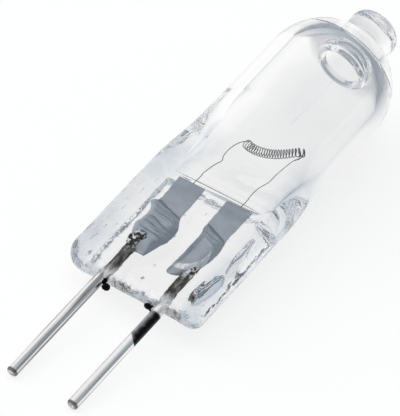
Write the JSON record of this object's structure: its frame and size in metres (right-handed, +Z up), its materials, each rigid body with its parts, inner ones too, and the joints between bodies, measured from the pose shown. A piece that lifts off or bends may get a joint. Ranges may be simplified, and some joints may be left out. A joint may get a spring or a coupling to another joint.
{
  "type": "halogen capsule bulb",
  "caption": "Clear quartz capsule lamp with a flat pinch seal, straight contact pins and a coiled tungsten filament, for plug-in low-voltage lamp holders.",
  "frame": {"origin": "on the table below the middle of the lamp's box, with the lamp lying on its pin ends and the underside of its shoulder", "axes": "+X across the two pins, +Y from the pins towards the tip as seen from above, +Z up; the lamp's own axis rises about 9.6 degrees from +Y towards +Z"},
  "size_m": [0.0086, 0.03, 0.0082],
  "materials": {
    "quartz": "fire-polished clear fused quartz",
    "foil": "rolled and creased molybdenum foil",
    "pin_metal": "drawn wire, satin, oxidised at the seal",
    "tungsten": "drawn tungsten wire, dull"
  },
  "bodies": {
    "root": {"quartz_capsule": "quartz", "foil_left": "foil", "foil_right": "foil", "pin_left": "pin_metal", "pin_right": "pin_metal", "filament": "tungsten"}
  },
  "joints": []
}
